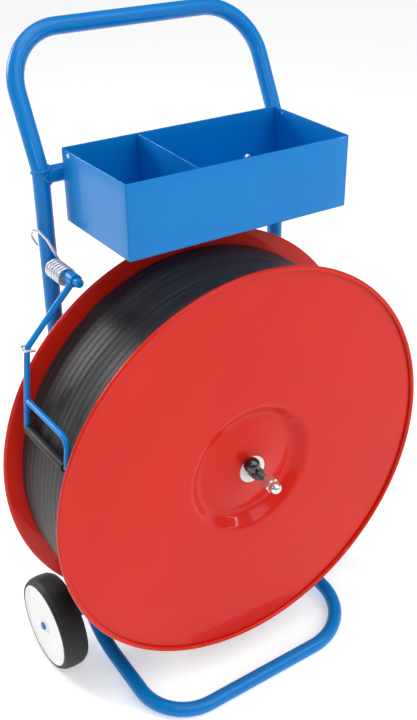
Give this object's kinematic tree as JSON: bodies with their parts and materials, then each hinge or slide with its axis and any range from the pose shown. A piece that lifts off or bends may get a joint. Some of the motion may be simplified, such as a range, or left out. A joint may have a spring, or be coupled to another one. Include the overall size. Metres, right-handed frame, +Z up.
{
  "type": "strapping band dispenser trolley",
  "caption": "Wheeled tube-frame trolley holding a flanged reel of strapping band on a spindle, with a sprung brake arm and a divided tool tray.",
  "frame": {"origin": "on the floor, under the middle of the whole trolley's bounding box", "axes": "+Z up, +X to the right seen from the front, +Y to the back, where the handle is"},
  "size_m": [0.6, 0.3597, 0.9196],
  "materials": {
    "blue_paint": "gloss powder coat",
    "nylon": "turned nylon",
    "zinc_steel": "bright zinc plate",
    "red_paint": "gloss lacquer on pressed sheet",
    "dark_steel": "plain turned steel, lightly oiled",
    "cardboard": "spiral wound paper tube",
    "black_band": "wound polypropylene band",
    "white_plastic": "moulded",
    "black_plastic": "polished moulding",
    "chrome": "plated",
    "brake_rubber": "extruded tube",
    "tyre_rubber": "solid tyre"
  },
  "bodies": {
    "frame": {"handle_loop": "blue_paint", "left_upright": "blue_paint", "right_upright": "blue_paint", "base_loop": "blue_paint", "upper_crossbar": "blue_paint", "left_reel_crossbar": "blue_paint", "right_reel_crossbar": "blue_paint", "spindle_housing": "blue_paint", "front_spindle_bush": "nylon", "rear_spindle_bush": "nylon", "left_tray_bracket": "blue_paint", "right_tray_bracket": "blue_paint", "tray": "blue_paint", "tray_divider": "blue_paint", "tray_screws": "zinc_steel", "tray_nuts": "zinc_steel", "tray_rivets": "zinc_steel", "wheel_axle": "blue_paint", "pivot_pin": "blue_paint", "brake_spring": "zinc_steel", "left_inner_washer": "zinc_steel", "left_axle_spacer": "blue_paint", "left_axle_ring": "white_plastic", "right_inner_washer": "zinc_steel", "right_axle_spacer": "blue_paint", "right_axle_ring": "white_plastic"},
    "reel": {"spindle": "dark_steel", "tail_washer": "zinc_steel", "tail_clip": "zinc_steel", "shoulder_disc": "dark_steel", "rear_flange": "red_paint", "hub_tube": "dark_steel", "core_drum": "dark_steel", "coil_core": "cardboard", "strap_coil": "black_band"},
    "outer_flange": {"front_flange": "red_paint", "friction_washer": "white_plastic"},
    "collar": {"clamp_collar": "dark_steel"},
    "clamp_knob": {"clamp_screw": "dark_steel", "ball_knob": "black_plastic"},
    "cap_nut": {"dome_nut": "chrome"},
    "arm": {"arm_sleeve": "blue_paint", "brake_arm": "blue_paint", "strap_guide": "blue_paint", "brake_bar": "zinc_steel", "brake_rubber": "brake_rubber"},
    "left_wheel": {"left_wheel_hub": "white_plastic", "left_tyre": "tyre_rubber"},
    "right_wheel": {"right_wheel_hub": "white_plastic", "right_tyre": "tyre_rubber"}
  },
  "joints": [
    {"name": "reel_spin", "type": "hinge", "parent": "frame", "child": "reel", "pos_m": [0, 0.02781, 0.3526], "axis": [0, 1, 0], "continuous": true},
    {"name": "outer_flange_slide", "type": "slide", "parent": "reel", "child": "outer_flange", "axis": [0, -1, 0], "range_m": [0, 0.0548]},
    {"name": "collar_slide", "type": "slide", "parent": "outer_flange", "child": "collar", "axis": [0, -1, 0], "range_m": [0, 0.0377]},
    {"name": "clamp_screw_turn", "type": "hinge", "parent": "collar", "child": "clamp_knob", "pos_m": [0, -0.12768, 0.3526], "axis": [-0.4849, 0, 0.8746], "range_deg": [0, 360]},
    {"name": "cap_nut_unscrew", "type": "slide", "parent": "collar", "child": "cap_nut", "axis": [0, -1, 0], "range_m": [0, 0.02]},
    {"name": "arm_swing", "type": "hinge", "parent": "frame", "child": "arm", "pos_m": [-0.1824, 0.03782, 0.638], "axis": [0, 1, 0], "range_deg": [0, 45], "stiffness_Nm_per_rad": 1.5, "springref_deg": -34.38, "deforming": ["brake_spring"]},
    {"name": "left_wheel_spin", "type": "hinge", "parent": "frame", "child": "left_wheel", "pos_m": [-0.2459, 0.04981, 0.074], "axis": [1, 0, 0], "continuous": true},
    {"name": "right_wheel_spin", "type": "hinge", "parent": "frame", "child": "right_wheel", "pos_m": [0.2459, 0.04981, 0.074], "axis": [1, 0, 0], "continuous": true}
  ]
}
